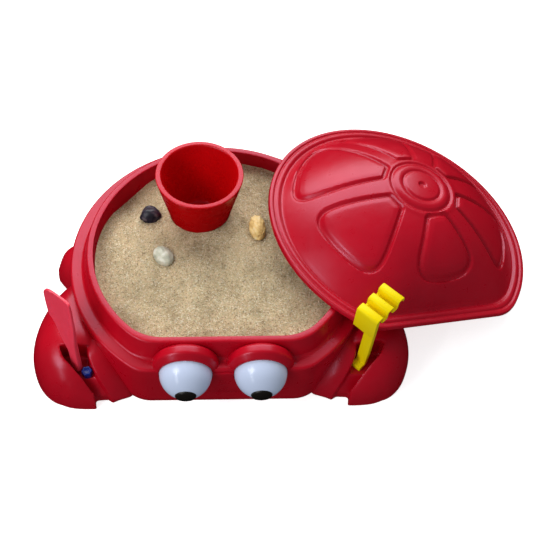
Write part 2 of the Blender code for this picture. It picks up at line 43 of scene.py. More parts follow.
# ---------------------------------------------------------------- sizes shared with the CAD
PLAN_R, PLAN_CY, PLAN_FRONT, PLAN_FILLET = 0.429, -0.011, -0.375, 0.090
LEDGE_Z, LEDGE_W = 0.177, 0.037
RING_Z, RING_OUT, RING_IN = 0.236, 0.054, 0.071
FLOOR_T = 0.004
EYE_X, EYE_Z, EYE_R, EYE_BASE_Y = 0.100, 0.157, 0.071, -0.3705
BROW = [(-0.3220, 0.0600, 0), (-0.3240, 0.0760, 0.004), (-0.3370, 0.0915, 0.006), (-0.3605, 0.0920, 0.006),
        (-0.3740, 0.0775, 0.003), (-0.3740, 0.0600, 0)]
PUPIL_R, PUPIL_T, PUPIL_TILT = 0.0285, 0.0040, math.radians(4)
LID_INSET, LID_H, LID_T = 0.0306, 0.181, 0.005
LID_POS = Vector((0.524, 0.105, 0.174))
LID_TURN = (-0.043, 0.247, 0.275)
BOSS_R = (0.088, 0.055)
DOME_R = 0.345
SAND_Z = 0.188
BUCKET_POS = Vector((-0.057, 0.165, 0.130))
BUCKET_TOP_R, BUCKET_BOT_R, BUCKET_H, BUCKET_WALL = 0.1265, 0.079, 0.213, 0.017
GAP = 0.0003


# ---------------------------------------------------------------- mesh helpers
def new_object(name, verts, faces, sharp=35):
    me = bpy.data.meshes.new(name)
    me.from_pydata([tuple(v) for v in verts], [], faces)
    bm = bmesh.new()
    bm.from_mesh(me)
    bmesh.ops.recalc_face_normals(bm, faces=bm.faces)
    bm.to_mesh(me)
    bm.free()
    ob = bpy.data.objects.new(name, me)
    COL.objects.link(ob)
    shade(ob, sharp)
    return ob


def shade(ob, sharp=35):
    ob.data.polygons.foreach_set("use_smooth", [True] * len(ob.data.polygons))
    ob.data.set_sharp_from_angle(angle=math.radians(sharp))


def baked(ob, *mods):
    """Applies modifiers, given as (type, {settings}) pairs."""
    for kind, opts in mods:
        m = ob.modifiers.new(kind, kind)
        for k, v in opts.items():
            setattr(m, k, v)
    bpy.context.view_layer.update()
    me = bpy.data.meshes.new_from_object(ob.evaluated_get(bpy.context.evaluated_depsgraph_get()))
    ob.modifiers.clear()
    ob.data = me
    return ob


def combine(target, tool, how):
    baked(target, ("BOOLEAN", dict(operation=how, solver="MANIFOLD", object=tool)))
    bpy.data.objects.remove(tool)
    return target


def loft(rings):
    n = len(rings[0])
    verts = [v for r in rings for v in r]
    faces = [list(range(n)), list(range(len(verts) - n, len(verts)))]
    for i in range(len(rings) - 1):
        for k in range(n):
            j = (k + 1) % n
            faces.append([i * n + k, i * n + j, (i + 1) * n + j, (i + 1) * n + k])
    return verts, faces


def lathe(profile, n):
    """Closed skin of revolution about Z from (r, z) pairs."""
    verts, faces, rows = [], [], []
    for r, z in profile:
        if r < 1e-6:
            rows.append([len(verts)])
            verts.append((0, 0, z))
        else:
            rows.append(list(range(len(verts), len(verts) + n)))
            verts += [(r * math.cos(2 * math.pi * k / n), r * math.sin(2 * math.pi * k / n), z)
                      for k in range(n)]
    pairs = list(zip(rows, rows[1:]))
    if len(rows[0]) > 1 or len(rows[-1]) > 1:
        pairs.append((rows[-1], rows[0]))
    for a, b in pairs:
        for k in range(n):
            j = (k + 1) % n
            q = [a[k % len(a)], a[j % len(a)], b[j % len(b)], b[k % len(b)]]
            q = [v for i, v in enumerate(q) if v not in q[:i]]
            if len(q) > 2:
                faces.append(q)
    return verts, faces


def rounded(points, steps=6):
    """Open polyline through (a, b, fillet) points with its corners rounded."""
    out = [points[0][:2]]
    for p0, p1, p2 in zip(points, points[1:], points[2:]):
        a, b, c = Vector(p0[:2]), Vector(p1[:2]), Vector(p2[:2])
        r = min(p1[2], (a - b).length * 0.49, (c - b).length * 0.49)
        if r <= 0:
            out.append(tuple(b))
            continue
        s, e = b + (a - b).normalized() * r, b + (c - b).normalized() * r
        for k in range(steps + 1):
            t = k / steps
            out.append(tuple(s * (1 - t) ** 2 + b * (2 * t * (1 - t)) + e * t * t))
    out.append(points[-1][:2])
    return out


def plan(inset, n1=12, n2=24, n3=76):
    """The D shaped plan, moved in by inset, counter-clockwise from the front centre."""
    rc, yf, rf = PLAN_R - inset, PLAN_FRONT + inset, PLAN_FILLET + 0.6 * max(inset, 0)
    xf = math.sqrt((rc - rf) ** 2 - (yf + rf - PLAN_CY) ** 2)
    a = math.atan2(yf + rf - PLAN_CY, xf)
    half = [(xf * (k + 0.5) / n1, yf) for k in range(n1)]
    for k in range(n2):
        t = -math.pi / 2 + (a + math.pi / 2) * (k + 0.5) / n2
        half.append((xf + rf * math.cos(t), yf + rf + rf * math.sin(t)))
    for k in range(n3):
        t = a + (math.pi / 2 - a) * (k + 0.5) / n3
        half.append((rc * math.cos(t), PLAN_CY + rc * math.sin(t)))
    return half + [(-x, y) for x, y in reversed(half)]


def plan_loft(profile):
    return loft([[(x, y, z) for x, y in plan(i)] for i, z in profile])


def catmull(pts, t):
    n = len(pts) - 1
    s = min(max(t * n, 0), n - 1e-9)
    i = int(s)
    u = s - i
    p = [pts[max(i - 1, 0)], pts[i], pts[i + 1], pts[min(i + 2, n)]]
    return [0.5 * (2 * b + (c - a) * u + (2 * a - 5 * b + 4 * c - d) * u * u
                   + (3 * b - a - 3 * c + d) * u ** 3) for a, b, c, d in zip(*p)]


def ridge(keys, nt, nphi, base, pw=0.8):
    """Half round body along a bent spine. keys: (x, y, half width, height)."""
    rings = []
    for i in range(nt + 1):
        t = i / nt
        x, y, w, h = catmull(keys, t)
        x2, y2 = catmull(keys, min(t + 0.01, 1))[:2]
        x1, y1 = catmull(keys, max(t - 0.01, 0))[:2]
        dx, dy = x2 - x1, y2 - y1
        ln = math.hypot(dx, dy)
        nx, ny = -dy / ln, dx / ln
        ring = [(x + nx * w, y + ny * w, base)]
        for k in range(nphi + 1):
            ph = math.pi * k / nphi
            c, s = math.cos(ph), max(math.sin(ph), 0)
            u = math.copysign(abs(c) ** pw, c) * w
            ring.append((x + nx * u, y + ny * u, s ** pw * h))
        ring.append((x - nx * w, y - ny * w, base))
        rings.append(ring)
    return loft(rings)


def box(x0, x1, y0, y1, z0, z1):
    v = [(x, y, z) for z in (z0, z1) for x, y in ((x0, y0), (x1, y0), (x1, y1), (x0, y1))]
    return v, [[0, 1, 2, 3], [4, 5, 6, 7], [0, 1, 5, 4], [1, 2, 6, 5], [2, 3, 7, 6], [3, 0, 4, 7]]


def prism(pts, z0, z1):
    return loft([[(x, y, z0) for x, y in pts], [(x, y, z1) for x, y in pts]])


def place(verts, mat):
    return [tuple(mat @ Vector(v)) for v in verts]


def wave(p, seed, scale):
    """Cheap smooth noise in -1..1 at numpy points (n, 3), from sines with fixed directions."""
    rng = np.random.default_rng(seed)
    out = np.zeros(len(p))
    for _ in range(10):
        d = rng.normal(size=3)
        d *= scale * rng.uniform(0.6, 1.5) / np.linalg.norm(d)
        out += np.sin(p @ d * 2 * math.pi + rng.uniform(0, 6.283))
    return out / 4.0


# ---------------------------------------------------------------- materials
def nodes_of(name):
    m = bpy.data.materials.new(name)
    m.use_nodes = True
    nt = m.node_tree
    return m, nt, nt.nodes["Principled BSDF"]


def link(nt, a, b):
    nt.links.new(a, b)


def translucent(b, weight, radius, scale):
    b.inputs["Subsurface Weight"].default_value = weight
    b.inputs["Subsurface Radius"].default_value = radius
    b.inputs["Subsurface Scale"].default_value = scale


def noise_tex(nt, scale, detail=3.0, rough=0.55):
    tc = nt.nodes.new("ShaderNodeTexCoord")
    n = nt.nodes.new("ShaderNodeTexNoise")
    n.inputs["Scale"].default_value = scale
    n.inputs["Detail"].default_value = detail
    n.inputs["Roughness"].default_value = rough
    link(nt, tc.outputs["Object"], n.inputs["Vector"])
    return n


def ramp(nt, src, stops):
    """Colour ramp from (position, colour) stops; a one-number colour is a grey."""
    r = nt.nodes.new("ShaderNodeValToRGB")
    els = r.color_ramp.elements
    while len(els) < len(stops):
        els.new(0.5)
    for e, (p, c) in zip(els, stops):
        e.position = p
        e.color = (*c, 1) if len(c) == 3 else (c[0], c[0], c[0], 1)
    link(nt, src, r.inputs["Fac"])
    return r


def add_bump(nt, b, src, strength, dist):
    bp = nt.nodes.new("ShaderNodeBump")
    bp.inputs["Strength"].default_value = strength
    bp.inputs["Distance"].default_value = dist
    link(nt, src, bp.inputs["Height"])
    link(nt, bp.outputs["Normal"], b.inputs["Normal"])
    return bp


PINK_SHEEN = (1.0, 0.72, 0.98)  # tint of the gloss on the red pieces
GLOSS_PATCHES, COLOUR_DRIFT, ORANGE_PEEL = 23, 5.5, 620  # noise scales, per metre


def plastic(name, colour, rough, deep=0.86, peel=0.10, scuff=0.07, spec=0.5, sheen=(1, 1, 1)):
    """Moulded plastic: slight colour drift, fine orange peel, patchy gloss."""
    m, nt, b = nodes_of(name)
    drift = noise_tex(nt, COLOUR_DRIFT, 4)
    c0 = tuple(c * deep for c in colour)
    r = ramp(nt, drift.outputs["Fac"], [(0.32, c0), (0.68, colour)])
    link(nt, r.outputs["Color"], b.inputs["Base Color"])
    patch = noise_tex(nt, GLOSS_PATCHES, 6, 0.65)
    rr = ramp(nt, patch.outputs["Fac"], [(0.35, (rough,)), (0.70, (rough + scuff,))])
    link(nt, rr.outputs["Color"], b.inputs["Roughness"])
    fine = noise_tex(nt, ORANGE_PEEL, 2)
    add_bump(nt, b, fine.outputs["Fac"], peel, 0.0004)
    b.inputs["Specular IOR Level"].default_value = spec
    b.inputs["Specular Tint"].default_value = (*sheen, 1)
    return m


RED = plastic("moulded_red", (0.50, 0.0012, 0.0120), 0.27, spec=0.42, sheen=PINK_SHEEN)
RED_LID = plastic("cover_red", (0.52, 0.0025, 0.0150), 0.27, spec=0.48, sheen=PINK_SHEEN)
RED_PAIL = plastic("pail_red", (0.58, 0.0006, 0.0024), 0.25, spec=0.42, sheen=PINK_SHEEN)
ROSE = plastic("spade_red", (0.92, 0.050, 0.098), 0.36)
translucent(ROSE.node_tree.nodes["Principled BSDF"], 0.25, (0.02, 0.004, 0.004), 0.5)
# white eye plastic, its base colour tinted blue as painted cool sky light
WHITE_PAINTED_SKY_TINT = plastic("eye_white_painted_sky_tint", (0.62, 0.71, 0.92), 0.20, deep=0.98, peel=0.02, scuff=0.03)
BLACK = plastic("pupil_black", (0.014, 0.011, 0.009), 0.38, deep=0.8, peel=0.25)
BLUE = plastic("peg_blue", (0.003, 0.018, 0.20), 0.24, spec=0.3)
YELLOW = plastic("rake_yellow", (0.93, 0.73, 0.0010), 0.38, deep=0.95, spec=0.3, sheen=(1.0, 0.8, 0.25))


GRAIN_CELLS = 330  # sand grains per metre
MIX_FACTOR, MIX_A, MIX_B, MIX_RESULT = 0, 6, 7, 2  # a colour Mix node's own sockets


def sand_material():
    """Fine grains, each cell with its own tint, under broad damp and dry patches."""
    m, nt, b = nodes_of("play_sand")
    tc = nt.nodes.new("ShaderNodeTexCoord")
    cell = nt.nodes.new("ShaderNodeTexVoronoi")
    cell.inputs["Scale"].default_value = GRAIN_CELLS
    link(nt, tc.outputs["Object"], cell.inputs["Vector"])
    sep = nt.nodes.new("ShaderNodeSeparateColor")
    link(nt, cell.outputs["Color"], sep.inputs["Color"])
    tint = ramp(nt, sep.outputs["Red"],
                [(0.0, (0.42, 0.33, 0.20)), (0.12, (0.60, 0.48, 0.29)), (0.38, (0.68, 0.56, 0.35)),
                 (0.60, (0.60, 0.54, 0.35)), (0.76, (0.74, 0.58, 0.39)), (0.90, (0.82, 0.76, 0.58)),
                 (1.0, (0.50, 0.41, 0.28))])
    tint.color_ramp.interpolation = "CONSTANT"
    big = noise_tex(nt, 14, 5, 0.6)
    broad = ramp(nt, big.outputs["Fac"],
                 [(0.32, (0.60, 0.57, 0.52)), (0.50, (0.84, 0.82, 0.78)), (0.68, (0.94, 0.90, 0.85))])
    mix = nt.nodes.new("ShaderNodeMix")
    mix.data_type = "RGBA"
    mix.blend_type = "MULTIPLY"
    mix.inputs[MIX_FACTOR].default_value = 1.0
    link(nt, tint.outputs["Color"], mix.inputs[MIX_A])
    link(nt, broad.outputs["Color"], mix.inputs[MIX_B])
    link(nt, mix.outputs[MIX_RESULT], b.inputs["Base Color"])
    b.inputs["Roughness"].default_value = 0.93
    b.inputs["Specular IOR Level"].default_value = 0.25
    add_bump(nt, b, cell.outputs["Distance"], 0.9, 0.0016)
    return m


def shell_material(name, c0, c1, c2, rough, sub=0.0):
    """Stone or shell: three blended tints and a pitted surface."""
    m, nt, b = nodes_of(name)
    n = noise_tex(nt, 46, 6, 0.65)
    r = ramp(nt, n.outputs["Fac"], [(0.30, c0), (0.52, c1), (0.70, c2)])
    link(nt, r.outputs["Color"], b.inputs["Base Color"])
    b.inputs["Roughness"].default_value = rough
    if sub:
        translucent(b, sub, (0.01, 0.01, 0.008), 0.6)
    g = noise_tex(nt, 210, 4)
    add_bump(nt, b, g.outputs["Fac"], 0.5, 0.0008)
    return m


SAND = sand_material()
STONE = shell_material("dark_stone_rock",
                       (0.008, 0.008, 0.016), (0.022, 0.020, 0.036), (0.16, 0.13, 0.15), 0.45)
PALE = shell_material("pale_shell_gloss",
                      (0.42, 0.46, 0.36), (0.62, 0.62, 0.48), (0.80, 0.80, 0.70), 0.30, 0.2)
GOLD = shell_material("yellow_shell_chalk",
                      (0.60, 0.36, 0.10), (0.92, 0.66, 0.25), (0.95, 0.84, 0.56), 0.55)


def finish_piece(ob, mat, body, node):
    """Gives a piece its material and its body, and hides the CAD node that it stands for."""
    ob.data.materials.clear()
    ob.data.materials.append(mat)
    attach(ob, body)
    if node:
        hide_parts(node)
    return ob


# ---------------------------------------------------------------- tub
# outer pincer, back to tip: x, y, half width, height
CLAW = [(-0.330, -0.020, 0.060, 0.100), (-0.385, -0.100, 0.095, 0.140), (-0.412, -0.190, 0.116, 0.153),
        (-0.408, -0.270, 0.1205, 0.152), (-0.372, -0.335, 0.088, 0.120), (-0.335, -0.385, 0.018, 0.040)]
# inner pincer, back to tip: its crest line and the valley beside the tub, as x, y, z
CREST = [(-0.372, -0.255, 0.140), (-0.366, -0.300, 0.130), (-0.343, -0.343, 0.097),
         (-0.319, -0.367, 0.052), (-0.3045, -0.3775, 0.012)]
VALE = [(-0.316, -0.255, 0.145), (-0.312, -0.290, 0.126), (-0.288, -0.330, 0.082),
        (-0.266, -0.350, 0.038), (-0.2625, -0.3645, 0.009)]
# the slot between the pincers, from its blind end forward: y, x of its outer edge, floor height
SLOT = [(-0.2740, -0.4450, 0.080), (-0.3080, -0.4310, 0.080), (-0.3340, -0.4050, 0.080),
        (-0.3430, -0.3955, 0.079), (-0.3570, -0.3800, 0.054), (-0.3740, -0.3600, 0.016),
        (-0.3860, -0.3460, -0.014), (-0.4400, -0.3420, -0.060)]
SLOT_Z = SLOT[0][2]
# plan of the open mouth in front of the slot
MOUTH = [(-0.3540, -0.3700), (-0.3420, -0.4500), (-0.1900, -0.4500), (-0.1900, -0.3600)]
# side leg, root to tip: x, y, half width, height
LEG = [(-0.350, 0.062, 0.072, 0.115), (-0.412, 0.060, 0.074, 0.115), (-0.460, 0.056, 0.056, 0.088),
       (-0.488, 0.053, 0.016, 0.030)]
BELOW = -0.024  # where shapes that are cut off at the ground begin
CLAW_VOXEL = 0.0030
BROW_DROOP, BROW_STEPS = 0.30, 64  # how far, in radians, each end of a brow runs below level
PLATE_TOP, PLATE_FOOT = LEDGE_Z - 0.012, 0.060
CLEAR_Z = 0.30  # above every moulded surface


def pincer(nt):
    """Inner pincer: steep outer side, inner side rolling to a valley at the tub."""
    rings = []
    for i in range(nt + 1):
        c, v = catmull(CREST, i / nt), catmull(VALE, i / nt)
        ring = [(c[0] - 0.001, c[1], BELOW), (c[0] - 0.001, c[1], c[2] - 0.005), (c[0] + 0.001, c[1], c[2])]
        for k in range(1, 13):
            t = k / 12
            swell = 0.10 * (c[2] - v[2] + 0.05) * math.sin(math.pi * t)
            x, y, z = (a + (b - a) * t for a, b in zip(c, v))
            ring.append((x, y, z + swell))
        ring.append((v[0] + 0.02, v[1] + 0.02, v[2] * 0.9))
        ring.append((v[0] + 0.02, v[1] + 0.02, BELOW))
        rings.append(ring)
    return loft(rings)


def claw():
    """Left claw: a dome with its slot and mouth cut out and the inner pincer added, then softened."""
    inner_x = -0.200
    dome = new_object("t", *ridge(CLAW, 60, 44, -0.020))
    line = [catmull(SLOT, k / 42) for k in range(43)]
    channel = loft([[(x, y, z), (inner_x, y, z), (inner_x, y, CLEAR_Z), (x, y, CLEAR_Z)] for y, x, z in line])
    combine(dome, new_object("t", *channel), "DIFFERENCE")
    combine(dome, new_object("t", *prism(MOUTH, -0.06, CLEAR_Z + 0.01)), "DIFFERENCE")
    combine(dome, new_object("t", *pincer(40)), "UNION")
    return baked(dome, ("REMESH", dict(mode="VOXEL", voxel_size=CLAW_VOXEL)),
                 ("SMOOTH", dict(factor=0.5, iterations=3)))


def mirrored(ob):
    twin = ob.copy()
    twin.data = ob.data.copy()
    COL.objects.link(twin)
    twin.data.transform(Matrix.Scale(-1, 4, (1, 0, 0)))
    twin.data.flip_normals()
    return twin


def brow(s):
    """Hood over one eye, swept round the eye's axis; s is -1 left, 1 right."""
    prof = rounded(BROW)
    rings = []
    for k in range(BROW_STEPS + 1):
        a = -BROW_DROOP + (math.pi + 2 * BROW_DROOP) * k / BROW_STEPS
        rings.append([(s * EYE_X + r * math.cos(a), y, EYE_Z + r * math.sin(a)) for y, r in prof])
    return loft(rings)


def facing_front(x, y):
    """Turns a body of revolution to look along -Y at the height of the eyes."""
    return Matrix.Translation((x, y, EYE_Z)) @ Matrix.Rotation(math.pi / 2, 4, "X")


def eye_mounts(tub):
    """Brows, the discs behind the eyes, the plate between them, and the seats cut for the eyes."""
    for s in (-1, 1):
        combine(tub, new_object("t", *brow(s)), "UNION")
        v, f = lathe([(0, 0), (0.068, 0), (0.068, 0.046), (0, 0.046)], 96)
        combine(tub, new_object("t", place(v, facing_front(s * EYE_X, -0.3260)), f), "UNION")
    plate = new_object("t", *box(-EYE_X * 0.8, EYE_X * 0.8, PLAN_FRONT - 0.004, PLAN_FRONT + 0.05,
                                 PLATE_FOOT, PLATE_TOP))
    baked(plate, ("BEVEL", dict(width=0.0025, segments=3)))
    combine(tub, plate, "UNION")
    for s in (-1, 1):
        v, f = lathe([(0, 0), (EYE_R + 0.0012, 0), (EYE_R + 0.0022, 0.06), (0, 0.06)], 96)
        combine(tub, new_object("t", place(v, facing_front(s * EYE_X, EYE_BASE_Y + GAP)), f), "DIFFERENCE")


def hollow(tub):
    """The sand basin, and the space under the moulding between basin and outer wall."""
    basin = rounded([(RING_IN + 0.060, FLOOR_T, 0), (RING_IN, FLOOR_T, 0.014),
                     (RING_IN, RING_Z - 0.0008, 0.004), (RING_IN - 0.0045, RING_Z, 0.0),
                     (RING_IN - 0.009, RING_Z + 0.1, 0)])
    combine(tub, new_object("t", *plan_loft(basin)), "DIFFERENCE")
    under = new_object("t", *plan_loft([(0.009, -0.02), (0.006, 0.014), (0.006, LEDGE_Z - 0.050),
                                        (0.040, LEDGE_Z - 0.046), (0.046, LEDGE_Z - 0.006)]))
    core = new_object("t", *plan_loft([(RING_IN - 0.005, -0.05), (RING_IN - 0.005, RING_Z)]))
    combine(under, core, "DIFFERENCE")
    combine(tub, under, "DIFFERENCE")


def build_tub():
    outer = rounded([(0.0040, -0.030, 0), (0.0040, 0.0, 0.006), (0.0, 0.016, 0.010), (0.0, LEDGE_Z, 0.0085),
                     (LEDGE_W, LEDGE_Z, 0.008), (RING_OUT - 0.001, RING_Z, 0.0055),
                     (RING_IN + 0.012, RING_Z, 0)])
    tub = new_object("tub_moulding", *plan_loft(outer))
    one = claw()
    leg = new_object("t", *ridge(LEG, 26, 30, -0.027))
    for part in (mirrored(one), mirrored(leg), one, leg):
        combine(tub, part, "UNION")
    eye_mounts(tub)
    hollow(tub)
    ground = box(-1, 1, -1, 1, -0.2, 0.0)
    combine(tub, new_object("t", *ground), "DIFFERENCE")
    shade(tub, 34)
    return tub


finish_piece(build_tub(), RED, "tub_body", "tub")

# ---------------------------------------------------------------- eyes
def pupil_profile():
    """Thin cap that hugs the eye's sphere, its outer edge eased over."""
    inside_r, outside_r = EYE_R + GAP, EYE_R + PUPIL_T
    half_angle = math.asin(PUPIL_R / inside_r)
    angles = [half_angle * k / 12 for k in range(13)]
    rows = [(inside_r * math.sin(a), inside_r * math.cos(a)) for a in angles]
    for k in range(16, -1, -1):
        q = k / 16
        r = inside_r + (outside_r - inside_r) * (1 - max(q - 0.86, 0) ** 2 / 0.0230)
        rows.append((r * math.sin(half_angle * (0.985 * q)), r * math.cos(half_angle * (0.985 * q))))
    return rows


for side, s in (("left", -1), ("right", 1)):
    seat = facing_front(s * EYE_X, EYE_BASE_Y)
    prof = [(0, 0.0), (EYE_R * 0.9, 0.0), (EYE_R - 0.0004, 0.0003), (EYE_R, 0.0012)]
    prof += [(EYE_R * math.cos(a), 0.0012 + (EYE_R - 0.0012) * math.sin(a))
             for a in (math.pi / 2 * k / 36 for k in range(1, 36))]
    v, f = lathe(prof + [(0, EYE_R)], 112)
    shell = new_object(side + "_eye_shell", place(v, seat), f, 50)
    finish_piece(shell, WHITE_PAINTED_SKY_TINT, "tub_body", side + "_eye_dome")
    look = seat @ Matrix.Rotation(PUPIL_TILT, 4, "X")
    v, f = lathe(pupil_profile(), 72)
    disc = new_object(side + "_pupil_disc", place(v, look), f, 50)
    finish_piece(disc, BLACK, "tub_body", side + "_pupil")

# ---------------------------------------------------------------- cover
LID_M = Matrix.Translation(LID_POS) @ Matrix.Rotation(LID_TURN[0], 4, "X") \
    @ Matrix.Rotation(LID_TURN[1], 4, "Y") @ Matrix.Rotation(LID_TURN[2], 4, "Z")
# centre angle, width, inner radius, outer radius, half width at the inner end
PANELS = [(-87, 46, 0.100, 0.252, 0.031), (-29, 37, 0.110, 0.316, 0.025), (-157, 52, 0.106, 0.293, 0.025),
          (30, 38, 0.110, 0.322, 0.024), (142, 50, 0.106, 0.326, 0.026), (88, 37, 0.112, 0.322, 0.028)]
LID_N = ((20, 40, 140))


def panel_outline(mid, wid, r0, r1, w0):
    """Rounded wedge between two radii, its outer side bowed, as (x, y) points."""
    h1 = math.radians(wid / 2)
    cs = [Vector((r0, -w0)), Vector((r1 * math.cos(h1), -r1 * math.sin(h1))),
          Vector((r1 * math.cos(h1), r1 * math.sin(h1))), Vector((r0, w0))]
    rad = (0.016, 0.036, 0.036, 0.016)
    fine = []
    for i in range(4):
        p, a, b = cs[i], cs[i - 1], cs[(i + 1) % 4]
        da, db = (a - p).normalized(), (b - p).normalized()
        d = rad[i] / math.tan(da.angle(db) / 2) * 0.8
        s, e = p + da * d, p + db * d
        fine += [s * (1 - t) ** 2 + p * 2 * t * (1 - t) + e * t * t for t in (k / 8 for k in range(9))]
    out = []
    a0 = math.radians(mid)
    xo = cs[1].x
    for i, p in enumerate(fine):
        q = fine[(i + 1) % len(fine)]
        m = max(int((q - p).length / 0.006), 1)
        for k in range(m):
            w = p + (q - p) * (k / m)
            bow = max((w.x - xo * 0.80) / (xo * 0.20), 0)
            px = w.x + bow * (r1 - xo) * (1 - (w.y / cs[2].y) ** 2)
            out.append((px * math.cos(a0) - w.y * math.sin(a0), px * math.sin(a0) + w.y * math.cos(a0)))
    return np.array(out)


def outline_distance(p, poly):
    """Signed distance from points (n, 2) to a closed outline, negative inside."""
    best = np.full(len(p), 1e9)
    inside = np.zeros(len(p), bool)
    for a, b in zip(poly, np.roll(poly, -1, 0)):
        e = b - a
        t = np.clip(((p - a) @ e) / (e @ e), 0, 1)
        best = np.minimum(best, np.hypot(*(p - a - t[:, None] * e).T))
        cross = (a[1] > p[:, 1]) != (b[1] > p[:, 1])
        with np.errstate(divide="ignore", invalid="ignore"):
            xi = a[0] + (p[:, 1] - a[1]) * e[0] / (e[1] if abs(e[1]) > 1e-12 else 1e-12)
        inside ^= cross & (p[:, 0] < xi)
    return np.where(inside, -best, best)


def smooth_step(x, a, b):
    """0 below a, 1 above b, eased between."""
    t = np.clip((x - a) / (b - a), 0, 1)
    return t * t * (3 - 2 * t)


OUTLINES = [panel_outline(*p) for p in PANELS]
GROOVE_DEPTH, GROOVE_FLAT, GROOVE_HALF = 0.0082, 0.0024, 0.0086
PANEL_RISE = 0.0024
BOSS_BEADS = [(0.0715, 0.0022, 0.008), (0.102, 0.0014, 0.007)]  # radius, height, spread
CENTRE_DIP, CENTRE_FLAT, CENTRE_R = 0.0050, 0.0075, 0.0125


def relief(xy):
    """Height of grooves, panels and centre rings over the plain dome."""
    h = np.zeros(len(xy))
    for poly in OUTLINES:
        d = outline_distance(xy, poly)
        h -= GROOVE_DEPTH * (1 - smooth_step(np.abs(d), GROOVE_FLAT, GROOVE_HALF))
        h += PANEL_RISE * smooth_step(-d, 0.004, 0.024)
    r = np.hypot(xy[:, 0], xy[:, 1])
    for ring, half, depth in ((BOSS_R[0], 0.0075, 0.0042), (BOSS_R[1], 0.0065, 0.0036)):
        h -= depth * (1 - smooth_step(np.abs(r - ring), 0.0012, half))
    for ring, rise, spread in BOSS_BEADS:
        h += rise * np.exp(-((r - ring) / spread) ** 2)
    h -= CENTRE_DIP * (1 - smooth_step(r, CENTRE_FLAT, CENTRE_R))
    return h


RIM_W = 0.046  # width of the cover's flange
DOME_FOOT, DOME_POWER = 0.012, 2.15


def lid_skin(ks, drop, detail):
    """Rows of the dome from its foot (1) to its centre (0), lowered by drop, with part of the relief."""
    foot = np.array(plan(LID_INSET + RIM_W, *LID_N))
    fr = np.hypot(foot[:, 0], foot[:, 1])
    rows = []
    for k in ks:
        g = k * (fr * k * k + DOME_R * (1 - k * k)) / fr
        xy = foot * g[:, None]
        z = DOME_FOOT + (LID_H - DOME_FOOT) * (1 - k ** DOME_POWER) + relief(xy) * detail - drop
        rows.append(np.column_stack([xy, z]))
    return rows


def build_lid():
    rim = rounded([(0.0055, -0.0070, 0), (0.0, -0.0070, 0.002), (0.0, 0.0075, 0.0065),
                   (0.0110, 0.0075, 0.006), (0.0150, 0.0040, 0.004), (0.0200, 0.0085, 0.005),
                   (0.0290, 0.0085, 0.006), (0.0370, 0.0025, 0.006), (RIM_W, DOME_FOOT, 0.0)], 5)
    inside = rounded([(0.0055, -0.0070, 0), (0.0055, 0.0020, 0.002), (0.0300, 0.0020, 0.006),
                      (0.0420, -0.0025, 0.004), (0.0500, 0.0060, 0)], 4)
    ks = np.concatenate([np.linspace(1, 0.08, 118)[1:],
                         [0.06, 0.045, 0.037, 0.032, 0.027, 0.022, 0.015, 0.007]])

    def flange(profile):
        return [np.array([(x, y, z) for x, y in plan(LID_INSET + i, *LID_N)]) for i, z in profile]

    top = flange(rim) + lid_skin(ks, 0.0, 1.0)
    low = flange(inside[1:]) + lid_skin(np.linspace(0.965, 0.03, 30), LID_T + 0.0012, 0.75)
    rings = low[::-1] + top
    n = len(rings[0])
    verts = np.concatenate(rings).tolist()
    faces = []
    for i in range(len(rings) - 1):
        for k in range(n):
            j = (k + 1) % n
            faces.append([i * n + k, i * n + j, (i + 1) * n + j, (i + 1) * n + k])
    for ring, at in ((rings[0], 0), (rings[-1], (len(rings) - 1) * n)):
        c = len(verts)
        verts.append(ring.mean(0).tolist())
        faces += [[c, at + k, at + (k + 1) % n] for k in range(n)]
    return new_object("lid_cover", place(verts, LID_M), faces, 60)


finish_piece(build_lid(), RED_LID, "lid_body", "lid")

# ---------------------------------------------------------------- bucket
rim_in = BUCKET_TOP_R - BUCKET_WALL
prof = rounded([(0.0, 0.0, 0), (BUCKET_BOT_R - 0.006, 0.0, 0.002), (BUCKET_BOT_R, 0.003, 0.003),
                (BUCKET_TOP_R - 0.0005, BUCKET_H - 0.0005, 0.0045), (rim_in + 0.0005, BUCKET_H, 0.0050),
                (BUCKET_BOT_R - BUCKET_WALL + 0.003, 0.012, 0.012), (0.0, 0.012, 0)], 8)
v, f = lathe(prof, 144)
bucket = new_object("sand_bucket", place(v, Matrix.Translation(BUCKET_POS)), f, 50)
finish_piece(bucket, RED_PAIL, "bucket_body", "bucket")


# ---------------------------------------------------------------- sand and finds
def sand_z(x, y):
    """The CAD's sand level, scooped out at the back left."""
    z = SAND_Z + 0.004 * np.sin(9 * x + 1.3) * np.cos(8 * y + 0.4)
    z -= 0.030 * np.exp(-(((x + 0.26) / 0.13) ** 2 + ((y - 0.22) / 0.10) ** 2))
    z += 0.006 * np.exp(-(((x - 0.05) / 0.18) ** 2 + ((y + 0.10) / 0.12) ** 2))
    return z


def sand_top(x, y):
    p = np.column_stack([x, y, np.zeros(len(x))])
    z = sand_z(x, y) - 0.0012
    z += 0.0016 * wave(p, 3, 11) + 0.0011 * wave(p, 5, 26) + 0.0007 * wave(p, 7, 60)
    return z


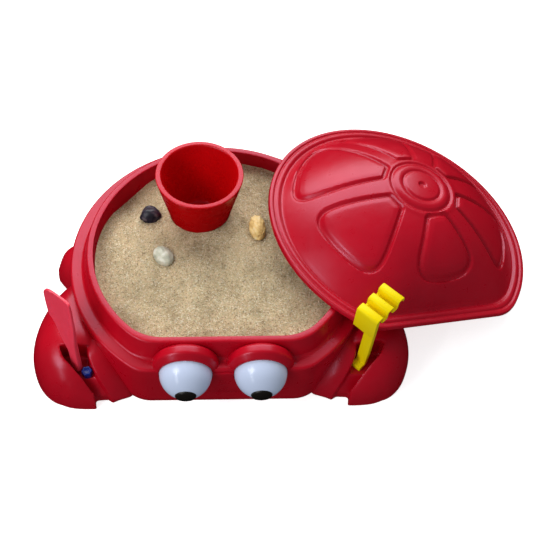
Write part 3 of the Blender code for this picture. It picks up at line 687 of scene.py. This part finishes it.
def build_sand():
    """Closed body of sand up to the ring, pressed out where the bucket stands."""
    edge = np.array(plan(RING_IN + GAP))
    share = np.concatenate([[1.0, 0.992, 0.982], np.linspace(0.97, 0.02, 84)])
    rows = [np.column_stack([np.array(plan(RING_IN + 0.021)), np.full(len(edge), FLOOR_T + GAP)]),
            np.column_stack([edge, np.full(len(edge), FLOOR_T + 0.015)])]
    for k in share:
        xy = edge * k
        z = sand_top(xy[:, 0], xy[:, 1]) + (0.0022 if k == 1 else 0.0012 if k > 0.99 else 0)
        rows.append(np.column_stack([xy, z]))
    v, f = loft([r.tolist() for r in rows])
    ob = new_object("sand_bed", v, f, 60)
    v, f = lathe([(0, -GAP), (BUCKET_BOT_R + GAP, -GAP), (BUCKET_TOP_R + GAP, BUCKET_H), (0, BUCKET_H)], 144)
    combine(ob, new_object("t", place(v, Matrix.Translation(BUCKET_POS)), f), "DIFFERENCE")
    shade(ob, 60)
    return ob


sand = finish_piece(build_sand(), SAND, "tub_body", "sand_fill")
sand.visible_glossy = False


GRAIN_TRIES = 11000
GRAIN_AREA = (-0.36, -0.31), (0.36, 0.36)
GRAIN_SIZE = 0.0008, 0.0020
BUCKET_CLEAR = 0.100  # no loose grains closer than this to the bucket's middle


def build_grains():
    """Loose grains lying on the sand, in one mesh of small lumps with their own tints."""
    rng = np.random.default_rng(11)
    xy = rng.uniform(*GRAIN_AREA, (GRAIN_TRIES, 2))
    keep = outline_distance(xy, np.array(plan(RING_IN + 0.004, 4, 6, 20))) < -0.002
    keep &= np.hypot(xy[:, 0] - BUCKET_POS.x, xy[:, 1] - BUCKET_POS.y) > BUCKET_CLEAR
    xy = xy[keep]
    n = len(xy)
    size = rng.uniform(*GRAIN_SIZE, n)
    mid = np.column_stack([xy, sand_top(xy[:, 0], xy[:, 1]) + size * 0.2])
    turn = np.linalg.qr(rng.normal(size=(n, 3, 3)))[0]
    base = np.array([(1, 0, 0), (-1, 0, 0), (0, 1, 0), (0, -1, 0), (0, 0, 1), (0, 0, -1)], float)
    tri = np.array([(0, 2, 4), (2, 1, 4), (1, 3, 4), (3, 0, 4), (2, 0, 5), (1, 2, 5), (3, 1, 5), (0, 3, 5)])
    pts = base[None] * (size[:, None, None] * rng.uniform(0.7, 1.3, (n, 6, 1)))
    pts = np.einsum("nij,njk->nik", pts, turn) + mid[:, None]
    faces = (tri[None] + 6 * np.arange(n)[:, None, None]).reshape(-1, 3)
    me = bpy.data.meshes.new("sand_grains")
    me.from_pydata(pts.reshape(-1, 3).tolist(), [], faces.tolist())
    at = me.attributes.new("tint", "FLOAT", "FACE")
    at.data.foreach_set("value", np.repeat(rng.uniform(0, 1, n), 8).astype(np.float32))
    ob = bpy.data.objects.new("sand_grains", me)
    COL.objects.link(ob)
    return ob


def grain_material():
    m, nt, b = nodes_of("sand_grain_mix")
    a = nt.nodes.new("ShaderNodeAttribute")
    a.attribute_name = "tint"
    r = ramp(nt, a.outputs["Fac"],
             [(0.0, (0.26, 0.19, 0.12)), (0.10, (0.44, 0.34, 0.20)), (0.35, (0.64, 0.52, 0.32)),
              (0.62, (0.56, 0.51, 0.33)), (0.80, (0.72, 0.56, 0.38)), (1.0, (0.90, 0.85, 0.70))])
    link(nt, r.outputs["Color"], b.inputs["Base Color"])
    b.inputs["Roughness"].default_value = 0.7
    return m


grains = finish_piece(build_grains(), grain_material(), "tub_body", None)
grains.visible_glossy = False


def pebble(name, centre, size, seed, rot, lumps, ribs=0.0):
    """Lumpy stone, or a shell where ribs fan out over its top."""
    bm = bmesh.new()
    bmesh.ops.create_icosphere(bm, subdivisions=4, radius=1.0)
    me = bpy.data.meshes.new(name)
    bm.to_mesh(me)
    bm.free()
    co = np.array([v.co for v in me.vertices])
    w = 1 + lumps * wave(co, seed, 0.45) + lumps * 0.35 * wave(co, seed + 1, 1.3)
    if ribs:
        fan = np.arctan2(co[:, 0], co[:, 1] + 1.3)
        w += ribs * np.cos(fan * 26) * np.clip(co[:, 2] + 0.4, 0, 1)
    co = co * np.clip(w, 0.6, 1.12)[:, None] * size
    c, s = math.cos(rot), math.sin(rot)
    co = np.column_stack([co[:, 0] * c - co[:, 1] * s, co[:, 0] * s + co[:, 1] * c, co[:, 2]]) + centre
    me.vertices.foreach_set("co", co.ravel())
    ob = bpy.data.objects.new(name, me)
    COL.objects.link(ob)
    shade(ob, 60)
    return ob


# name, node, place, half sizes, seed, material, turn, lumps, ribs
FINDS = [("dark_rock", "dark_stone", (-0.203, 0.146), (0.030, 0.027, 0.026), 21, STONE, 0.4, 0.20, 0.0),
         ("pale_clam", "pale_shell", (-0.162, -0.012), (0.027, 0.036, 0.018), 22, PALE, 0.5, 0.07, 0.03),
         ("yellow_cockle", "yellow_shell", (0.109, 0.084), (0.024, 0.043, 0.021), 23, GOLD, 0.12, 0.10, 0.06)]
for name, node, (px, py), size, seed, mat, rot, lumps, ribs in FINDS:
    pz = float(sand_z(np.array([px]), np.array([py]))[0]) + size[2] * 0.30
    finish_piece(pebble(name, (px, py, pz), size, seed, rot, lumps, ribs), mat, "tub_body", node)


# ---------------------------------------------------------------- spade
def frame_at(foot, lean_x, lean_y, turn):
    """Frame of a toy standing on foot, leaning and turned by degrees."""
    return Matrix.Translation(foot) @ Matrix.Rotation(math.radians(lean_x), 4, "X") \
        @ Matrix.Rotation(math.radians(lean_y), 4, "Y") @ Matrix.Rotation(math.radians(turn), 4, "Z")


SPADE_M = frame_at((-0.3990, -0.3115, 0.0850), -13.0, -3.4, -45)
# height, centre across, half width, half thickness, hollow of the face
SPADE = [(0.000, 0, 0.0150, 0.0080, 0.0), (0.010, 0, 0.0170, 0.0090, 0.0), (0.060, 0, 0.0170, 0.0090, 0.001),
         (0.080, -0.003, 0.0210, 0.0090, 0.0015), (0.100, -0.008, 0.0270, 0.0090, 0.002),
         (0.130, -0.012, 0.0350, 0.0085, 0.003), (0.155, -0.018, 0.0440, 0.0080, 0.004),
         (0.175, -0.025, 0.0530, 0.0075, 0.0045), (0.225, -0.026, 0.0550, 0.0070, 0.0045),
         (0.246, -0.025, 0.0540, 0.0065, 0.0045), (0.262, -0.018, 0.0470, 0.0060, 0.004)]


SPADE_BOX = (0.45, 0.55)  # how square its section is, across and through
BLADE_CURL, BLADE_FROM = 0.020, 0.13


def build_spade():
    """Handle and blade as one loft of rounded box sections, its face dished and curling back."""
    rings = []
    for i in range(49):
        z, cx, hw, ht, hollow = catmull(SPADE, i / 48)
        end = min(i, 48 - i)
        pinch = 1 - 0.22 * max(1 - end / 2, 0) ** 2
        ring = []
        for k in range(48):
            a = 2 * math.pi * k / 48
            c, s = math.cos(a), math.sin(a)
            x = cx + hw * pinch * math.copysign(abs(c) ** SPADE_BOX[0], c)
            y = ht * pinch * math.copysign(abs(s) ** SPADE_BOX[1], s) + BLADE_CURL * max(z - BLADE_FROM, 0)
            if s < 0:
                y += hollow * (1 - (c * c)) ** 2
            ring.append((x, y, z))
        rings.append(ring)
    return loft(rings)


v, f = build_spade()
finish_piece(new_object("spade", place(v, SPADE_M), f, 45), ROSE, "shovel_body", "shovel")

# ---------------------------------------------------------------- peg
PEG_R, PEG_H = 0.0155, 0.022
v, f = lathe([(0, 0), (PEG_R - 0.001, 0), (PEG_R, 0.002), (PEG_R, PEG_H - 0.002), (PEG_R - 0.0017, PEG_H),
              (0.0092, PEG_H), (0.0084, PEG_H - 0.002), (0, PEG_H - 0.002)], 6)
peg_at = Matrix.Translation((-0.3713, -0.3290, 0.0803)) @ Matrix.Rotation(math.radians(12), 4, "Z")
peg = new_object("peg", place(v, peg_at), f)
baked(peg, ("BEVEL", dict(width=0.0009, segments=3, limit_method="ANGLE", angle_limit=math.radians(25))))
shade(peg, 40)
finish_piece(peg, BLUE, "peg_body", "blue_peg")

# ---------------------------------------------------------------- rake
BAR = math.radians(44.5)  # direction of the head in plan
RAKE_X, RAKE_Y, RAKE_TOP, PITCH = 0.388, -0.261, 0.350, 0.043
HEAD_T, HEAD_W0, HEAD_W1 = 0.0050, -0.0105, 0.0560
STRAP_U, STRAP_W, STRAP_HALF, STRAP_T = -0.0260, 0.0290, 0.0150, 0.0145
RAKE_FOOT = SLOT_Z + 0.0006


def rake_space(u, w, z):
    """u runs along the head, w along the ridges."""
    return (RAKE_X + math.cos(BAR) * u + math.sin(BAR) * w, RAKE_Y + math.sin(BAR) * u - math.cos(BAR) * w, z)


def ribbon(path, thick, w0, w1, bevel=0.0016):
    """Strip of even thickness along a (u, z) path, as wide as w0 to w1."""
    pts = [Vector(p) for p in path]
    left, right = [], []
    for i, p in enumerate(pts):
        d = (pts[min(i + 1, len(pts) - 1)] - pts[max(i - 1, 0)]).normalized()
        nrm = Vector((-d.y, d.x)) * (thick / 2)
        left.append(p + nrm)
        right.append(p - nrm)
    poly = left + right[::-1]
    n = len(pts)
    verts = [rake_space(p.x, w, p.y) for w in (w0, w1) for p in poly]
    m = 2 * n
    faces = []
    for i in range(n - 1):
        a, b, c, d = i, i + 1, m - 2 - i, m - 1 - i
        faces += [[a, b, c, d], [m + a, m + b, m + c, m + d]]
    faces += [[k, (k + 1) % m, m + (k + 1) % m, m + k] for k in range(m)]
    ob = new_object("t", verts, faces)
    return baked(ob, ("BEVEL", dict(width=bevel, segments=2, limit_method="ANGLE",
                                    angle_limit=math.radians(50))))


def build_rake():
    """Head as one ribbon folded into three ridges, on a flat strap with a bent foot."""
    top, low = RAKE_TOP - HEAD_T / 2, RAKE_TOP - 0.030
    path = [(-PITCH - 0.0130, RAKE_TOP - 0.078, 0), (-PITCH - 0.0130, top, 0.007),
            (-PITCH + 0.0100, top, 0.007)]
    for u in (0.0, PITCH):
        path += [(u - PITCH + 0.0125, low, 0.006), (u - 0.0110, low, 0.006), (u - 0.0110, top, 0.007),
                 (u + 0.0100, top, 0.007)]
    path += [(PITCH + 0.0125, RAKE_TOP - 0.020, 0.0)]
    head = ribbon(rounded(path, 4), HEAD_T, HEAD_W0, HEAD_W1)
    head.name = head.data.name = "rake_toy"
    foot_z = RAKE_FOOT + 0.008
    line = rounded([(STRAP_U - 0.0315, foot_z, 0), (STRAP_U - 0.004, foot_z, 0.010),
                    (STRAP_U, RAKE_TOP - 0.100, 0.02), (STRAP_U, RAKE_TOP - 0.030, 0)], 6)
    strap = ribbon(line, STRAP_T, STRAP_W - STRAP_HALF, STRAP_W + STRAP_HALF)
    combine(head, strap, "UNION")
    shade(head, 40)
    return head


finish_piece(build_rake(), YELLOW, "rake_body", "rake")

# ---------------------------------------------------------------- stage, camera and light
bm = bmesh.new()
bmesh.ops.create_grid(bm, x_segments=8, y_segments=8, size=9)
me = bpy.data.meshes.new("floor")
bm.to_mesh(me)
bm.free()
floor = bpy.data.objects.new("floor", me)
COL.objects.link(floor)
floor.location.z = -0.0006
fm, _, fb = nodes_of("pale_floor")
fb.inputs["Base Color"].default_value = (0.93, 0.93, 0.93, 1)
fb.inputs["Roughness"].default_value = 0.9
fb.inputs["Specular IOR Level"].default_value = 0.0
fb.inputs["Emission Color"].default_value = (1, 1, 1, 1)
fb.inputs["Emission Strength"].default_value = 0.72
me.materials.append(fm)
floor.visible_glossy = False
floor.visible_diffuse = False

world = bpy.data.worlds.new("studio")
bpy.context.scene.world = world
world.use_nodes = True
world.node_tree.nodes["Background"].inputs["Color"].default_value = (0.94, 0.97, 1.0, 1)
world.node_tree.nodes["Background"].inputs["Strength"].default_value = 0.38
world.cycles_visibility.glossy = False


def softbox(name, at, aim, size, power, colour, roll=0.0):
    li = bpy.data.lights.new(name, "AREA")
    li.shape = "RECTANGLE"
    li.size, li.size_y = size
    li.energy = power
    li.color = colour
    ob = bpy.data.objects.new(name, li)
    COL.objects.link(ob)
    ob.location = at
    facing = (Vector(aim) - Vector(at)).to_track_quat("-Z", "Y")
    ob.rotation_euler = (facing @ Quaternion((0, 0, 1), roll)).to_euler()
    return ob


softbox("window_back", (0.0, 3.1, 3.0), (0.1, 0.0, 0.2), (5.2, 3.2), 215, (1.0, 0.98, 0.98))
softbox("lamp_left", (-2.05, -1.00, 2.40), (-0.3, -0.1, 0.1), (1.3, 1.3), 34, (1.0, 0.98, 0.97))
softbox("window_front_left", (-1.74, -2.03, 1.50), (-0.1, -0.4, 0.16), (0.22, 2.4), 13,
        (0.95, 0.98, 1.0), 0.63)

LENS_MM, SENSOR_MM = 58.82348, 36
SHIFT_X = 0.108864  # keeps the whole object in the frame, as a share of its width
PITCH_DOWN, YAW, ROLL = 0.969, 0.030, 0.013
CAM_AT = (-0.058, -1.514, 2.280)
cam = bpy.data.cameras.new("camera")
cam_ob = bpy.data.objects.new("camera", cam)
COL.objects.link(cam_ob)
ahead = Vector((math.sin(YAW) * math.cos(PITCH_DOWN), math.cos(YAW) * math.cos(PITCH_DOWN),
                -math.sin(PITCH_DOWN)))
right = Vector((math.cos(YAW), -math.sin(YAW), 0))
up = right.cross(ahead)
right, up = math.cos(ROLL) * right + math.sin(ROLL) * up, -math.sin(ROLL) * right + math.cos(ROLL) * up
cam_ob.matrix_world = Matrix(((right.x, up.x, -ahead.x, CAM_AT[0]), (right.y, up.y, -ahead.y, CAM_AT[1]),
                              (right.z, up.z, -ahead.z, CAM_AT[2]), (0, 0, 0, 1)))
cam.sensor_width = SENSOR_MM
cam.lens = LENS_MM
cam.shift_x = SHIFT_X
cam.clip_end = 40
bpy.context.scene.camera = cam_ob
bpy.context.scene.view_settings.view_transform = "Standard"
